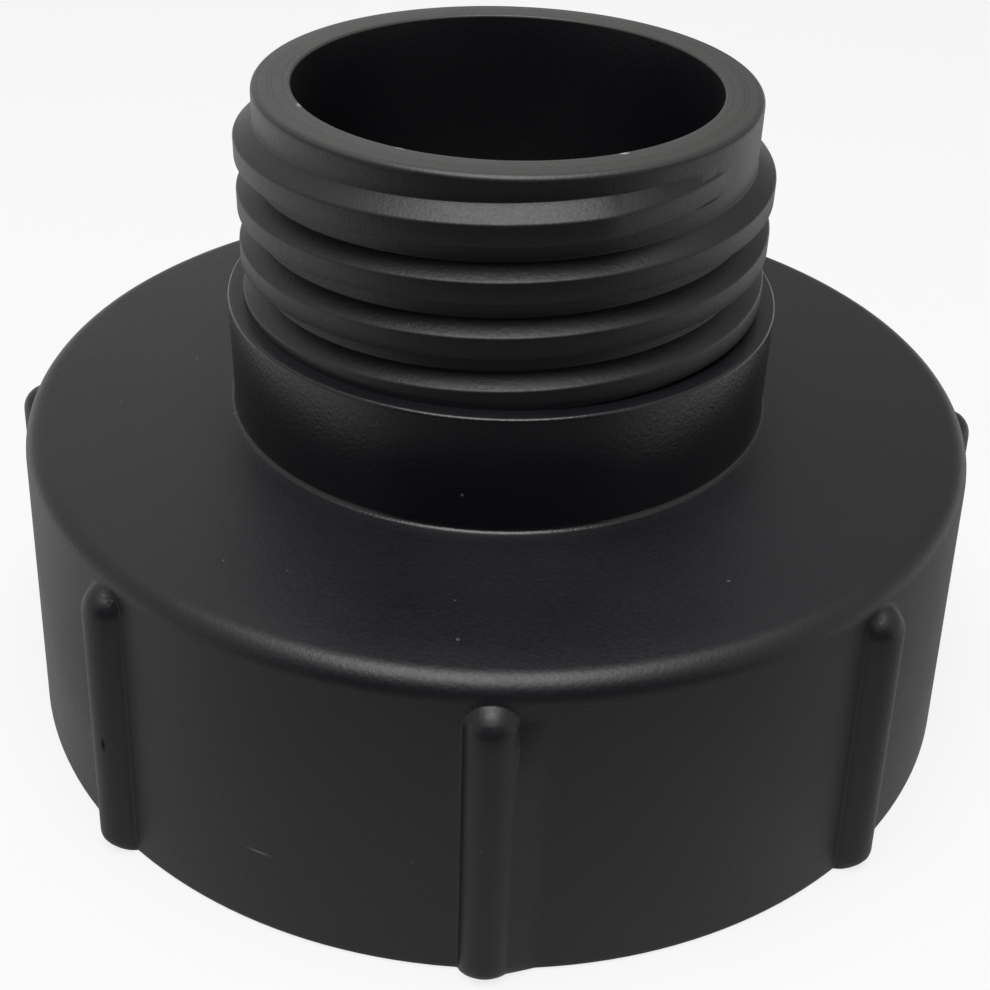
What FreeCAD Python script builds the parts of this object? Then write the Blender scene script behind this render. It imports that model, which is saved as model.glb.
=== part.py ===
import FreeCAD, Part
import os

import Sketcher

# Container tap adapter: a coarse female socket below, a coarse male neck above, and a flat gasket.
# Millimetres and degrees. The Z axis is the axis of both threads, the origin is the middle of the
# base plane, and one grip rib points along -Y. Each outline is drawn as radius and height.

# Driving sizes. Each has its own cell in the sheet, under the name given here.
SIZES = [
    ("total_height", 75.0, "base plane to rim"),
    ("shoulder_height", 37.2, "base plane to the top of the shoulder"),
    ("shoulder_wall", 5.0, "shoulder thickness over the sealing face"),
    ("shoulder_round", 2.5, "round between shoulder and skirt"),
    ("skirt_base_radius", 58.2, "outside of the skirt at the base plane"),
    ("skirt_draft", 2.2, "how much narrower the skirt is at the shoulder, in radius"),
    ("skirt_wall", 7.8, "thickness of the skirt at the base plane, over the thread's root"),
    ("base_edge_bevel", 0.3, "outer edge of the base"),
    ("collar_height", 13.75, "plain collar, from shoulder to ledge"),
    ("collar_radius", 31.8, "outside of the collar"),
    ("collar_foot_round", 0.6, "round between collar and shoulder"),
    ("collar_edge_bevel", 0.4, "outer edge of the ledge"),
    ("ledge_width", 4.0, "collar to the root of the male thread"),
    ("rim_outer_bevel", 0.5, "outer edge of the rim"),
    ("rim_inner_round", 0.3, "upper mouth of the bore"),
    ("neck_wall", 4.3, "root of the male thread to the bore"),
    ("bore_foot_bevel", 1.0, "lower mouth of the bore"),
    ("male_depth", 2.2, "root to crest of the male thread"),
    ("male_pitch", 6.0, "rise of the male thread in one turn"),
    ("male_end_drop", 4.75, "rim to the middle of the crest where the full thread ends"),
    ("male_end_angle", -70.0, "where the full male thread ends, counted from +X towards +Y"),
    ("male_runout_angle", 42.0, "angle over which the male thread sinks into the neck"),
    ("male_start_sink", 2.6, "ledge to the buried start of the male thread"),
    ("male_crest_width", 2.3, "flat of the male crest"),
    ("male_upper_flank", 19.0, "male flank towards the rim, from level"),
    ("male_lower_flank", 8.0, "male flank towards the collar, from level"),
    ("socket_mouth_bevel", 1.5, "lead-in at the mouth of the socket"),
    ("female_depth", 2.8, "root to crest of the female thread"),
    ("female_pitch", 8.0, "rise of the female thread in one turn"),
    ("female_start_height", 6.5, "base plane to the middle of the first full crest"),
    ("female_start_angle", 120.0, "where the full female thread begins, counted as above"),
    ("female_end_gap", 5.9, "gasket to the middle of the last full crest"),
    ("female_runout_angle", 30.0, "angle over which each end of the female thread sinks"),
    ("female_crest_width", 2.6, "flat of the female crest"),
    ("female_upper_flank", 8.0, "female flank towards the sealing face, from level"),
    ("female_lower_flank", 30.0, "female flank towards the mouth, from level"),
    ("ridge_overlap", 0.5, "how far a thread ridge reaches into its wall"),
    ("ridge_stock", 0.3, "how far a full thread is swept proud of its crest, then turned down"),
    ("rib_count", 8, "grip ribs around the skirt"),
    ("rib_radius", 2.8, "radius of a half-round rib"),
    ("rib_inset", 0.5, "rib axis inside the face of the skirt"),
    ("rib_top_drop", 5.5, "shoulder to the centre of a rib's ball end"),
    ("gasket_clearance", 0.2, "gap between gasket and socket wall"),
    ("gasket_width", 11.2, "outside to hole of the gasket"),
    ("gasket_thickness", 3.0, "thickness of the gasket"),
]

# Sizes worked out from the driving ones by the sheet itself.
DERIVED = [
    ("ledge_height", "shoulder_height + collar_height"),
    ("sealing_height", "shoulder_height - shoulder_wall"),
    ("skirt_top_radius", "skirt_base_radius - skirt_draft"),
    ("skirt_lean", "(skirt_base_radius - skirt_top_radius) / shoulder_height"),
    ("neck_radius", "collar_radius - ledge_width"),
    ("bore_radius", "neck_radius - neck_wall"),
    ("male_crest_radius", "neck_radius + male_depth"),
    ("male_end_height", "total_height - male_end_drop"),
    ("male_turns", "(male_end_height - ledge_height + male_start_sink) / male_pitch"),
    ("male_runout_turns", "male_runout_angle / 360"),
    ("male_sink", "male_depth + ridge_overlap / 2"),
    ("socket_radius", "skirt_base_radius - skirt_wall"),
    ("female_crest_radius", "socket_radius - female_depth"),
    ("female_end_height", "sealing_height - gasket_thickness - female_end_gap"),
    ("female_turns", "(female_end_height - female_start_height) / female_pitch"),
    ("female_runout_turns", "female_runout_angle / 360"),
    ("female_sink", "female_depth + ridge_overlap / 2"),
    ("rib_axis_radius", "skirt_base_radius - rib_inset"),
    ("rib_ball_height", "shoulder_height - rib_top_drop"),
    ("gasket_radius", "socket_radius - gasket_clearance"),
    ("gasket_hole_radius", "gasket_radius - gasket_width"),
    ("gasket_base_height", "sealing_height - gasket_thickness"),
]

STOCK = "Sizes.ridge_stock"
NEAR = 0.01
CHANGED_VOLUME = 1.0

doc = FreeCAD.newDocument("ibc_tap_adapter")
sheet = doc.addObject("Spreadsheet::Sheet", "Sizes")
for row, (alias, value, note) in enumerate(SIZES, start=1):
    sheet.set(f"A{row}", note)
    sheet.set(f"B{row}", str(value))
    sheet.setAlias(f"B{row}", alias)
for row, (alias, formula) in enumerate(DERIVED, start=len(SIZES) + 1):
    sheet.set(f"B{row}", f"={formula}")
    sheet.setAlias(f"B{row}", alias)
doc.recompute()


def size(alias):
    """The number that the sheet holds under this name."""
    return float(getattr(sheet, alias))


def evaluate(expression):
    """The number that an expression in the sheet's names gives."""
    result = sheet.evalExpression(expression)
    return float(getattr(result, "Value", result))


def origin_feature(body, role):
    """The body's own plane or axis with this role."""
    return next(item for item in body.Origin.OriginFeatures if item.Role == role)


def new_sketch(body, name, turn=None):
    """A sketch on the body's XZ plane, turned about Z by the expression if one is given."""
    sketch = body.newObject("Sketcher::SketchObject", name)
    sketch.AttachmentSupport = [(origin_feature(body, "XZ_Plane"), "")]
    sketch.MapMode = "FlatFace"
    if turn is not None:
        up = FreeCAD.Vector(0, 1, 0)
        sketch.AttachmentOffset = FreeCAD.Placement(FreeCAD.Vector(), FreeCAD.Rotation(up, 1.0))
        sketch.setExpression("AttachmentOffset.Rotation.Angle", turn)
    return sketch


def hold_corner(sketch, edge, across, up):
    """Hold the start of an edge at the radius and height that two expressions give."""
    for kind, expression in (("DistanceX", across), ("DistanceY", up)):
        now = evaluate(expression)
        if abs(now) < NEAR:
            axis = -2 if kind == "DistanceX" else -1
            sketch.addConstraint(Sketcher.Constraint("PointOnObject", edge, 1, axis))
            continue
        index = sketch.addConstraint(Sketcher.Constraint(kind, -1, 1, edge, 1, now))
        sketch.setExpression(f"Constraints[{index}]", expression)


def outline(body, name, corners, turn=None):
    """A closed sketch of straight edges through corners, each a pair of expressions."""
    sketch = new_sketch(body, name, turn)
    places = [FreeCAD.Vector(evaluate(across), evaluate(up), 0) for across, up in corners]
    for start, end in zip(places, places[1:] + places[:1]):
        sketch.addGeometry(Part.LineSegment(start, end), False)
    for edge in range(len(places)):
        after = (edge + 1) % len(places)
        sketch.addConstraint(Sketcher.Constraint("Coincident", edge, 2, after, 1))
    for edge, (across, up) in enumerate(corners):
        hold_corner(sketch, edge, across, up)
    doc.recompute()
    return sketch


def revolve(body, kind, name, sketch):
    """The sketch turned fully about the body's Z axis, added or cut."""
    feature = body.newObject(kind, name)
    feature.Profile = sketch
    feature.ReferenceAxis = (origin_feature(body, "Z_Axis"), [""])
    feature.Angle = 360.0
    feature.Refine = False
    doc.recompute()
    return feature


def treat_circle(body, kind, name, radius, height, amount):
    """Round or bevel the circle about Z at this radius and height by the size with this name."""
    feature = body.newObject(f"PartDesign::{kind}", name)
    found = []
    for number, edge in enumerate(feature.BaseFeature.Shape.Edges, start=1):
        if not isinstance(edge.Curve, Part.Circle) or not edge.isClosed():
            continue
        gaps = (edge.Curve.Radius - radius, edge.Curve.Center.z - height)
        if max(abs(gap) for gap in gaps) < NEAR:
            found.append(f"Edge{number}")
    if len(found) != 1:
        raise RuntimeError(f"{name} found {len(found)} circles")
    feature.Base = (feature.BaseFeature, found)
    feature.setExpression("Size" if kind == "Chamfer" else "Radius", f"Sizes.{amount}")
    doc.recompute()


def ridge_outline(body, name, side, middle, turn, stock="0"):
    """A ridge's section, a crest between two flanks that start inside the wall.

    side is male or female, middle the height of the crest's middle, turn the section's angle
    about Z and stock how far the section stands proud of the crest.
    """
    wall = "neck_radius" if side == "male" else "socket_radius"
    out = "1" if side == "male" else "-1"
    root = f"Sizes.{wall} - {out} * Sizes.ridge_overlap"
    tip = f"Sizes.{side}_crest_radius + {out} * {stock}"
    depth = f"(Sizes.{side}_depth + Sizes.ridge_overlap)"
    half = f"Sizes.{side}_crest_width / 2"
    upper = f"tan(Sizes.{side}_upper_flank)"
    lower = f"tan(Sizes.{side}_lower_flank)"
    corners = [
        (root, f"{middle} - {half} - {depth} * {lower}"),
        (tip, f"{middle} - {half} + {stock} * {lower}"),
        (tip, f"{middle} + {half} - {stock} * {upper}"),
        (root, f"{middle} + {half} + {depth} * {upper}"),
    ]
    return outline(body, name, corners, turn)


def ridge(body, name, sketch, side, turns, growth="0", down=False):
    """The section swept right-handed about Z, up or down, while its radius grows by growth."""
    feature = body.newObject("PartDesign::AdditiveHelix", name)
    feature.Profile = sketch
    feature.ReferenceAxis = (origin_feature(body, "Z_Axis"), [""])
    feature.Mode = "height-turns-growth"
    feature.Reversed = down
    feature.Refine = False
    feature.setExpression("Turns", turns)
    feature.setExpression("Height", f"{turns} * Sizes.{side}_pitch")
    feature.setExpression("Growth", f"{growth} / {turns}")
    before = feature.BaseFeature.Shape.Volume
    doc.recompute()
    if feature.Shape.Volume - before < CHANGED_VOLUME:
        raise RuntimeError(f"{name} added nothing")
    return feature


def add_turned_form(body):
    """The outside and the inside of the fitting, without collar, ribs and threads."""
    outside = [
        ("0", "0"),
        ("Sizes.skirt_base_radius", "0"),
        ("Sizes.skirt_top_radius", "Sizes.shoulder_height"),
        ("Sizes.neck_radius", "Sizes.shoulder_height"),
        ("Sizes.neck_radius", "Sizes.total_height"),
        ("0", "Sizes.total_height"),
    ]
    inside = [
        ("0", "0"),
        ("Sizes.socket_radius", "0"),
        ("Sizes.socket_radius", "Sizes.sealing_height"),
        ("Sizes.bore_radius", "Sizes.sealing_height"),
        ("Sizes.bore_radius", "Sizes.total_height"),
        ("0", "Sizes.total_height"),
    ]
    outer = revolve(body, "PartDesign::Revolution", "OuterForm", outline(body, "Outside", outside))
    inner = revolve(body, "PartDesign::Groove", "InnerForm", outline(body, "Inside", inside))
    if outer.Shape.Volume - inner.Shape.Volume < CHANGED_VOLUME:
        raise RuntimeError("the socket and bore cut nothing")


def soften_circles(body):
    """The rounds and bevels that run right round the axis."""
    shoulder, ledge = "Sizes.shoulder_height", "Sizes.ledge_height"
    rim, ceiling = "Sizes.total_height", "Sizes.sealing_height"
    treatments = [
        ("Fillet", "ShoulderRound", "skirt_top_radius", shoulder, "shoulder_round"),
        ("Fillet", "CollarFootRound", "collar_radius", shoulder, "collar_foot_round"),
        ("Chamfer", "CollarEdgeBevel", "collar_radius", ledge, "collar_edge_bevel"),
        ("Chamfer", "RimOuterBevel", "neck_radius", rim, "rim_outer_bevel"),
        ("Fillet", "RimInnerRound", "bore_radius", rim, "rim_inner_round"),
        ("Chamfer", "BoreFootBevel", "bore_radius", ceiling, "bore_foot_bevel"),
        ("Chamfer", "BaseEdgeBevel", "skirt_base_radius", "0", "base_edge_bevel"),
        ("Chamfer", "SocketMouthBevel", "socket_radius", "0", "socket_mouth_bevel"),
    ]
    for kind, name, radius, height, amount in treatments:
        treat_circle(body, kind, name, size(radius), evaluate(height), amount)


def repeat_round(body, feature, name):
    """Copies of a rib's feature at even angles round the skirt."""
    pattern = body.newObject("PartDesign::PolarPattern", name)
    pattern.Originals = [feature]
    pattern.Refine = False
    pattern.Axis = (origin_feature(body, "Z_Axis"), [""])
    pattern.Angle = 360.0
    pattern.setExpression("Occurrences", "Sizes.rib_count")
    body.Tip = pattern
    doc.recompute()
    if pattern.Shape.Volume - feature.Shape.Volume < CHANGED_VOLUME:
        raise RuntimeError(f"{name} added nothing")


def add_ribs(body):
    """Half-round grip ribs that lean with the skirt and end in a ball under the shoulder."""
    section = body.newObject("Sketcher::SketchObject", "RibSection")
    section.AttachmentSupport = [(origin_feature(body, "XY_Plane"), "")]
    section.MapMode = "FlatFace"
    middle = FreeCAD.Vector(0, -size("rib_axis_radius"), 0)
    up = FreeCAD.Vector(0, 0, 1)
    section.addGeometry(Part.Circle(middle, up, size("rib_radius")), False)
    section.addConstraint(Sketcher.Constraint("PointOnObject", 0, 3, -2))
    reach = section.addConstraint(Sketcher.Constraint("DistanceY", 0, 3, -1, 1, -middle.y))
    section.setExpression(f"Constraints[{reach}]", "Sizes.rib_axis_radius")
    round_size = section.addConstraint(Sketcher.Constraint("Radius", 0, size("rib_radius")))
    section.setExpression(f"Constraints[{round_size}]", "Sizes.rib_radius")

    rib = body.newObject("PartDesign::Pad", "Rib")
    rib.Profile = section
    rib.UseCustomVector = True
    rib.Direction = FreeCAD.Vector(0, size("skirt_lean"), 1)
    rib.setExpression("Direction.y", "Sizes.skirt_lean")
    rib.AlongSketchNormal = True
    rib.setExpression("Length", "Sizes.rib_ball_height")
    doc.recompute()

    repeat_round(body, rib, "Ribs")

    ball = body.newObject("PartDesign::AdditiveSphere", "RibBall")
    ball.setExpression("Radius", "Sizes.rib_radius")
    across = "Sizes.skirt_lean * Sizes.rib_ball_height - Sizes.rib_axis_radius"
    ball.setExpression("Placement.Base.y", across)
    ball.setExpression("Placement.Base.z", "Sizes.rib_ball_height")
    doc.recompute()
    repeat_round(body, ball, "RibBalls")


def turn_down(body, name, near, far, bottom, top):
    """Cut away what stands between two radii and two heights, which leaves a round crest."""
    corners = [(near, bottom), (far, bottom), (far, top), (near, top)]
    before = body.Tip.Shape.Volume
    cut = revolve(body, "PartDesign::Groove", name, outline(body, f"{name}Section", corners))
    if before - cut.Shape.Volume < CHANGED_VOLUME:
        raise RuntimeError(f"{name} cut nothing")


def add_male_thread(body):
    """The ridge from inside the collar up to where it sinks into the neck under the rim."""
    start = "Sizes.male_end_height - Sizes.male_turns * Sizes.male_pitch"
    start_angle = "Sizes.male_end_angle - 360 * Sizes.male_turns"
    full = ridge_outline(body, "MaleSection", "male", start, start_angle, STOCK)
    ridge(body, "MaleThread", full, "male", "Sizes.male_turns")
    foot, rim = "Sizes.ledge_height - Sizes.male_start_sink / 2", "Sizes.total_height"
    turn_down(body, "MaleCrest", "Sizes.male_crest_radius", "Sizes.collar_radius", foot, rim)
    end_height, end_angle = "Sizes.male_end_height", "Sizes.male_end_angle"
    end = ridge_outline(body, "MaleEndSection", "male", end_height, end_angle)
    ridge(body, "MaleRunout", end, "male", "Sizes.male_runout_turns", "-Sizes.male_sink")


def add_collar(body):
    """The plain ring that closes over the start of the male thread."""
    inner, outer = "Sizes.neck_radius - Sizes.ridge_overlap", "Sizes.collar_radius"
    foot, ledge = "Sizes.shoulder_height - Sizes.ridge_overlap", "Sizes.ledge_height"
    corners = [(inner, foot), (outer, foot), (outer, ledge), (inner, ledge)]
    revolve(body, "PartDesign::Revolution", "Collar", outline(body, "CollarSection", corners))


def add_female_thread(body):
    """The ridge inside the skirt, which rises out of the wall and sinks back into it."""
    height, angle = "Sizes.female_start_height", "Sizes.female_start_angle"
    full = ridge_outline(body, "FemaleSection", "female", height, angle, STOCK)
    ridge(body, "FemaleThread", full, "female", "Sizes.female_turns")
    crest, top = "Sizes.female_crest_radius", "Sizes.gasket_base_height"
    turn_down(body, "FemaleCrest", "0", crest, "0", top)
    runout, sink = "Sizes.female_runout_turns", "Sizes.female_sink"
    first = ridge_outline(body, "FemaleFirstSection", "female", height, angle)
    ridge(body, "FemaleRunin", first, "female", runout, sink, down=True)
    end_height, end_angle = "Sizes.female_end_height", f"{angle} + 360 * Sizes.female_turns"
    end = ridge_outline(body, "FemaleEndSection", "female", end_height, end_angle)
    ridge(body, "FemaleRunout", end, "female", runout, sink)


def build_adapter():
    """The one-piece moulded fitting."""
    body = doc.addObject("PartDesign::Body", "adapter_body")
    body.Label = "adapter_body"
    add_turned_form(body)
    add_male_thread(body)
    add_collar(body)
    add_female_thread(body)
    soften_circles(body)
    add_ribs(body)
    return body


def build_gasket():
    """The flat rubber ring that lies against the sealing face."""
    body = doc.addObject("PartDesign::Body", "sealing_gasket")
    body.Label = "sealing_gasket"
    corners = [
        ("Sizes.gasket_hole_radius", "Sizes.gasket_base_height"),
        ("Sizes.gasket_radius", "Sizes.gasket_base_height"),
        ("Sizes.gasket_radius", "Sizes.sealing_height"),
        ("Sizes.gasket_hole_radius", "Sizes.sealing_height"),
    ]
    section = outline(body, "GasketSection", corners)
    revolve(body, "PartDesign::Revolution", "GasketRing", section)
    return body


def check_document(pieces):
    """Stop before anything is written if an object or a piece's shape is not sound."""
    for item in doc.Objects:
        if {"Invalid", "Error"} & set(item.State):
            raise RuntimeError(f"{item.Name} failed: {item.State}")
    for piece in pieces:
        if piece.Shape.isNull() or not piece.Shape.isValid() or len(piece.Shape.Solids) != 1:
            raise RuntimeError(f"{piece.Label} is not one sound solid")


pieces = [build_adapter(), build_gasket()]
doc.recompute()
check_document(pieces)
os.makedirs("parts", exist_ok=True)
for piece in pieces:
    piece.Shape.exportStep(f"parts/{piece.Label}.step")
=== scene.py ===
import logging
import math
from dataclasses import dataclass, field
from enum import Enum

import bpy
from mathutils import Matrix, Vector

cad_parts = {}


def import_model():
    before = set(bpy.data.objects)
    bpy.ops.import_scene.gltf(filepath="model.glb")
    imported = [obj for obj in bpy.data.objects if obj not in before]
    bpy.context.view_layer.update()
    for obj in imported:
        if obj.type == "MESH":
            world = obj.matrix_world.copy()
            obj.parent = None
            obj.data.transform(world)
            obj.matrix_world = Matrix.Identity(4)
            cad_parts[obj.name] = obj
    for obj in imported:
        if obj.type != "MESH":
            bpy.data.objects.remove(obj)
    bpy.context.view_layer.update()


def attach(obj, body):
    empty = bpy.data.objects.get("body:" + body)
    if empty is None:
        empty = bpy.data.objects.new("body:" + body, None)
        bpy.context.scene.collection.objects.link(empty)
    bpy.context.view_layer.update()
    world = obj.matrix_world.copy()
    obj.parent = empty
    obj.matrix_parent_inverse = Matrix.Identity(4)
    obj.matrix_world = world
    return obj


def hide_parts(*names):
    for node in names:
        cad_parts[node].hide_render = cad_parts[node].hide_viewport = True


# A threaded container adapter in black moulded plastic with its rubber gasket. Sizes are in
# millimetres until a mesh is finished, and angles are in degrees, counted from the middle grip
# rib, which points along -Y, towards +X.

MM = 0.001
FULL_TURN = 360.0
FRONT = -90.0
PHOTO_PIXELS = 990.0
ROUNDING = 0.0005
MIX_COLOUR_INPUTS = (0, 6, 7)
MIX_COLOUR_RESULT = 2
COMPARE_WHOLE_INPUTS = (2, 3)

log = logging.getLogger("adapter")

Corner = tuple[float, float]
Spot = tuple[float, float, float]
Socket = bpy.types.NodeSocket
Sockets = bpy.types.bpy_prop_collection


class Zone(Enum):
    """How a row of the adapter's surface gets its radius and height."""

    LEVEL = 0
    RIBBED = 1
    NECK_THREAD = 2
    SOCKET_THREAD = 3


class Side(Enum):
    """Which way a thread's ridge stands from its wall."""

    OUTWARD = 1.0
    INWARD = -1.0


def rounded(corners: list[Corner], radii: list[float], steps: int) -> list[Corner]:
    """Rounds the inner corners of an open run of straight lines.

    Args:
        corners: The run's corners, first and last included.
        radii: A radius for each corner between the first and the last.
        steps: How many pieces each round has.

    Returns:
        The corners of the rounded run, from first to last.
    """
    run = [corners[0]]
    for before, here, after, radius in zip(corners, corners[1:], corners[2:], radii):
        middle = Vector(here)
        back = (Vector(before) - middle).normalized()
        ahead = (Vector(after) - middle).normalized()
        half = back.angle(ahead) / 2
        reach = radius / math.tan(half)
        centre = middle + (back + ahead).normalized() * radius / math.sin(half)
        start = middle + back * reach - centre
        sweep = start.angle_signed(middle + ahead * reach - centre)
        for step in range(steps + 1):
            turned = Matrix.Rotation(-sweep * step / steps, 2) @ start
            run.append(tuple(centre + turned))
    run.append(corners[-1])
    return run


@dataclass
class NodeSheet:
    """A node tree that is being written."""

    tree: bpy.types.NodeTree

    def add(self, kind: str, **settings: object) -> bpy.types.Node:
        """Adds a node.

        Args:
            kind: The node's type.
            settings: Properties to set on it.

        Returns:
            The new node.
        """
        node = self.tree.nodes.new(kind)
        for name, value in settings.items():
            setattr(node, name, value)
        return node

    def feed(self, socket: Socket, value: object) -> None:
        """Links a socket to another or sets it.

        Args:
            socket: The input that gets the value.
            value: An output socket, or a plain value.
        """
        if isinstance(value, Socket):
            self.tree.links.new(value, socket)
        else:
            socket.default_value = value

    def math(self, operation: str, *values: object, clamp: bool = False) -> Socket:
        """Adds a sum of numbers.

        Args:
            operation: The name of the operation.
            values: Its one, two or three numbers or sockets.
            clamp: Whether the result is held between 0 and 1.

        Returns:
            The socket that holds the result.
        """
        node = self.add("ShaderNodeMath", operation=operation, use_clamp=clamp)
        for socket, value in zip(node.inputs, values):
            self.feed(socket, value)
        return node.outputs[0]

    def curve(self, value: object, points: list[Corner]) -> Socket:
        """Adds a curve of straight lines from one number to another.

        Args:
            value: The number that goes in, from 0 to 1.
            points: The curve's corners, in rising order.

        Returns:
            The socket that holds the result.
        """
        node = self.add("ShaderNodeFloatCurve")
        curve = node.mapping.curves[0]
        curve.points[0].location = points[0]
        curve.points[1].location = points[-1]
        for place in points[1:-1]:
            curve.points.new(*place)
        for point in curve.points:
            point.handle_type = "VECTOR"
        node.mapping.update()
        self.feed(node.inputs["Value"], value)
        return node.outputs[0]

    def pick(self, number: object, value: int, yes: object, no: object) -> Socket:
        """Chooses between two numbers.

        Args:
            number: The whole number that decides.
            value: What it is compared with.
            yes: The result where they are equal.
            no: The result elsewhere.

        Returns:
            The socket that holds the result.
        """
        same = self.add("FunctionNodeCompare", data_type="INT", operation="EQUAL")
        for socket, given in zip(COMPARE_WHOLE_INPUTS, (number, value)):
            self.feed(same.inputs[socket], given)
        switch = self.add("GeometryNodeSwitch", input_type="FLOAT")
        self.feed(switch.inputs["Switch"], same.outputs[0])
        self.feed(switch.inputs["False"], no)
        self.feed(switch.inputs["True"], yes)
        return switch.outputs[0]

    def split(self, vector: object) -> Sockets:
        """Adds a split of a vector.

        Args:
            vector: The vector.

        Returns:
            The sockets that hold its three numbers.
        """
        parts = self.add("ShaderNodeSeparateXYZ")
        self.feed(parts.inputs[0], vector)
        return parts.outputs

    def squares(self, across: object, along: object) -> Socket:
        """Adds the square of a distance from its two parts.

        Args:
            across: The distance one way.
            along: The distance at right angles to it.

        Returns:
            The socket that holds the result.
        """
        return self.math("ADD", self.math("POWER", across, 2.0), self.math("POWER", along, 2.0))

    def blend(self, share: object, below: object, above: object) -> Socket:
        """Adds a mix of two colours.

        Args:
            share: The second colour's share.
            below: The first colour.
            above: The second colour.

        Returns:
            The socket that holds the colour.
        """
        mix = self.add("ShaderNodeMix", data_type="RGBA")
        for socket, value in zip(MIX_COLOUR_INPUTS, (share, below, above)):
            self.feed(mix.inputs[socket], value)
        return mix.outputs[MIX_COLOUR_RESULT]

    def noise(self, place: object, scale: float, detail: float) -> Socket:
        """Adds a cloudy pattern.

        Args:
            place: The place on the piece.
            scale: How many clouds there are to the metre.
            detail: How many finer layers it has.

        Returns:
            The socket that holds the pattern.
        """
        node = self.add("ShaderNodeTexNoise")
        self.feed(node.inputs["Vector"], place)
        self.feed(node.inputs["Scale"], scale)
        self.feed(node.inputs["Detail"], detail)
        return node.outputs["Fac"]

    def spread(self, value: object, found: Corner, wanted: Corner, **settings: object) -> Socket:
        """Adds a change from one range of numbers to another.

        Args:
            value: The number that goes in.
            found: The range that it comes from.
            wanted: The range that it is spread over.
            settings: Properties to set on the node.

        Returns:
            The socket that holds the result.
        """
        node = self.add("ShaderNodeMapRange", **settings)
        names = ("Value", "From Min", "From Max", "To Min", "To Max")
        for name, number in zip(names, (value, *found, *wanted)):
            self.feed(node.inputs[name], number)
        return node.outputs["Result"]

    def bump(self, height: object, distance: float) -> Socket:
        """Adds a fine relief.

        Args:
            height: The relief, from 0 to 1.
            distance: How high it is, in metres.

        Returns:
            The socket that holds the normal.
        """
        node = self.add("ShaderNodeBump")
        self.feed(node.inputs["Strength"], 1.0)
        self.feed(node.inputs["Distance"], distance)
        self.feed(node.inputs["Height"], height)
        return node.outputs["Normal"]


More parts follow.
